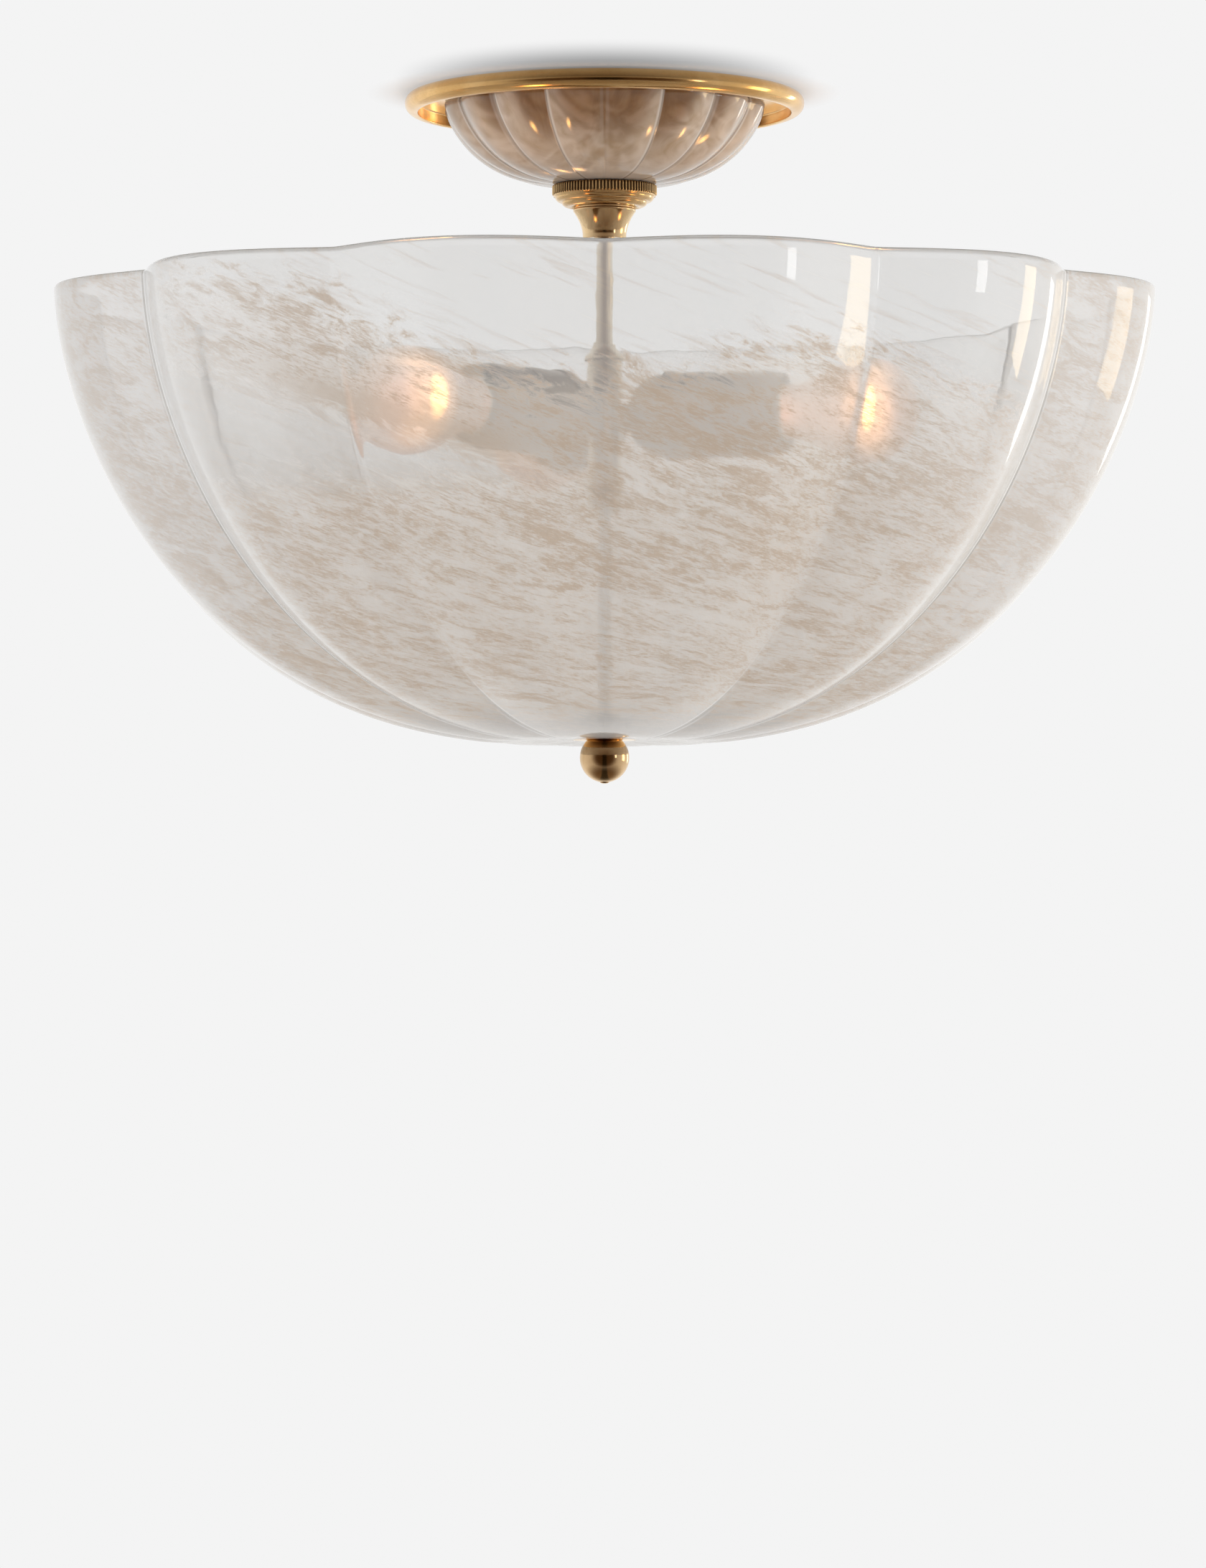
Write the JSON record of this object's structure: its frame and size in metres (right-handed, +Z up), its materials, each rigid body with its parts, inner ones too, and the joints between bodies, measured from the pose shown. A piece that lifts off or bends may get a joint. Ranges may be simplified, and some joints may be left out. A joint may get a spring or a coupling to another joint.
{
  "type": "semi-flush ceiling light",
  "caption": "Semi-flush ceiling light: a fluted glass dome under a brass ceiling pan, a short brass stem and a large lobed glass bowl held by a ball finial.",
  "frame": {"origin": "centre of the ceiling plane, on the crossbar's upper face", "axes": "+Z up through the ceiling box, +X along the crossbar's slots, -Y towards the camera of the picture"},
  "size_m": [0.4938, 0.4938, 0.3151],
  "materials": {
    "aged_brass": "warm brass, softly polished, lightly aged",
    "plated_steel": "zinc-plated",
    "green_screw": "green ground screw",
    "rubber": "moulded rubber",
    "dome_glass": "glossy taupe streaked glass",
    "bowl_glass": "glossy clear glass with fine taupe streaks",
    "bulb_glass": "frosted, lit",
    "bulb_insulator": "black glass with a solder tip",
    "screw_shell": "rolled thin sheet",
    "liner_card": "plain card",
    "moulding": "dark moulding",
    "black_sheath": "smooth",
    "white_sheath": "smooth"
  },
  "bodies": {
    "fixture": {"mounting_crossbar": "plated_steel", "ground_screw": "green_screw", "crossbar_lock_nut": "plated_steel", "mounting_nipple": "plated_steel", "canopy_pan": "aged_brass", "canopy_pan_nut": "plated_steel", "dome_rim_gasket": "rubber", "flared_neck": "aged_brass", "stem_tube": "aged_brass", "hub_cup": "aged_brass", "socket_hub": "aged_brass", "hub_plug": "aged_brass", "lower_rod": "plated_steel", "bowl_stop_nut": "aged_brass", "live_lead": "black_sheath", "neutral_lead": "white_sheath", "arm_nipple_1": "plated_steel", "arm_nipple_2": "plated_steel", "arm_nipple_3": "plated_steel", "socket_cap_1": "aged_brass", "socket_cap_2": "aged_brass", "socket_cap_3": "aged_brass", "socket_shell_1": "aged_brass", "socket_shell_2": "aged_brass", "socket_shell_3": "aged_brass", "socket_liner_1": "liner_card", "socket_liner_2": "liner_card", "socket_liner_3": "liner_card", "socket_body_1": "moulding", "socket_body_2": "moulding", "socket_body_3": "moulding", "socket_screw_shell_1": "screw_shell", "socket_screw_shell_2": "screw_shell", "socket_screw_shell_3": "screw_shell", "socket_contact_1": "aged_brass", "socket_contact_2": "aged_brass", "socket_contact_3": "aged_brass"},
    "dome": {"dome_glass": "dome_glass"},
    "ring_pad": {"ring_gasket": "rubber"},
    "ring": {"knurled_ring": "aged_brass"},
    "bowl": {"bowl_glass": "bowl_glass", "upper_bowl_gasket": "rubber", "lower_bowl_gasket": "rubber"},
    "seat": {"seat_washer": "aged_brass"},
    "finial": {"ball_finial": "aged_brass"},
    "bulb_tip_1": {"bulb_eyelet_1": "bulb_insulator"},
    "bulb_1": {"bulb_base_1": "screw_shell", "bulb_glass_1": "bulb_glass"},
    "bulb_tip_2": {"bulb_eyelet_2": "bulb_insulator"},
    "bulb_2": {"bulb_base_2": "screw_shell", "bulb_glass_2": "bulb_glass"},
    "bulb_tip_3": {"bulb_eyelet_3": "bulb_insulator"},
    "bulb_3": {"bulb_base_3": "screw_shell", "bulb_glass_3": "bulb_glass"}
  },
  "joints": [
    {"name": "dome_drop", "type": "slide", "parent": "fixture", "child": "dome", "axis": [0, 0, -1], "range_m": [0, 0.04]},
    {"name": "ring_pad_drop", "type": "slide", "parent": "dome", "child": "ring_pad", "axis": [0, 0, -1], "range_m": [0, 0.007]},
    {"name": "ring_turn", "type": "hinge", "parent": "ring_pad", "child": "ring", "pos_m": [0, 0, -0.047], "axis": [0, 0, -1], "range_deg": [0, 2520]},
    {"name": "bowl_drop", "type": "slide", "parent": "fixture", "child": "bowl", "axis": [0, 0, -1], "range_m": [0, 0.215]},
    {"name": "seat_drop", "type": "slide", "parent": "bowl", "child": "seat", "axis": [0, 0, -1], "range_m": [0, 0.0094]},
    {"name": "finial_turn", "type": "hinge", "parent": "seat", "child": "finial", "pos_m": [0, 0, -0.304], "axis": [0, 0, -1], "range_deg": [0, 3600]},
    {"name": "bulb_out_1", "type": "slide", "parent": "fixture", "child": "bulb_tip_1", "axis": [0.9659, -0.2588, 0], "range_m": [0, 0.0254]},
    {"name": "bulb_turn_1", "type": "hinge", "parent": "bulb_tip_1", "child": "bulb_1", "pos_m": [0, 0, -0.148], "axis": [0.9659, -0.2588, 0], "range_deg": [0, 2520]},
    {"name": "bulb_out_2", "type": "slide", "parent": "fixture", "child": "bulb_tip_2", "axis": [-0.2588, 0.9659, 0], "range_m": [0, 0.0254]},
    {"name": "bulb_turn_2", "type": "hinge", "parent": "bulb_tip_2", "child": "bulb_2", "pos_m": [0, 0, -0.148], "axis": [-0.2588, 0.9659, 0], "range_deg": [0, 2520]},
    {"name": "bulb_out_3", "type": "slide", "parent": "fixture", "child": "bulb_tip_3", "axis": [-0.7071, -0.7071, 0], "range_m": [0, 0.0254]},
    {"name": "bulb_turn_3", "type": "hinge", "parent": "bulb_tip_3", "child": "bulb_3", "pos_m": [0, 0, -0.148], "axis": [-0.7071, -0.7071, 0], "range_deg": [0, 2520]}
  ],
  "couplings": [
    {"joint": "ring_turn", "follows": "ring_pad_drop", "rad_per_m": 6283},
    {"joint": "finial_turn", "follows": "seat_drop", "rad_per_m": 6684},
    {"joint": "bulb_turn_1", "follows": "bulb_out_1", "rad_per_m": 1731.5},
    {"joint": "bulb_turn_2", "follows": "bulb_out_2", "rad_per_m": 1731.5},
    {"joint": "bulb_turn_3", "follows": "bulb_out_3", "rad_per_m": 1731.5}
  ]
}
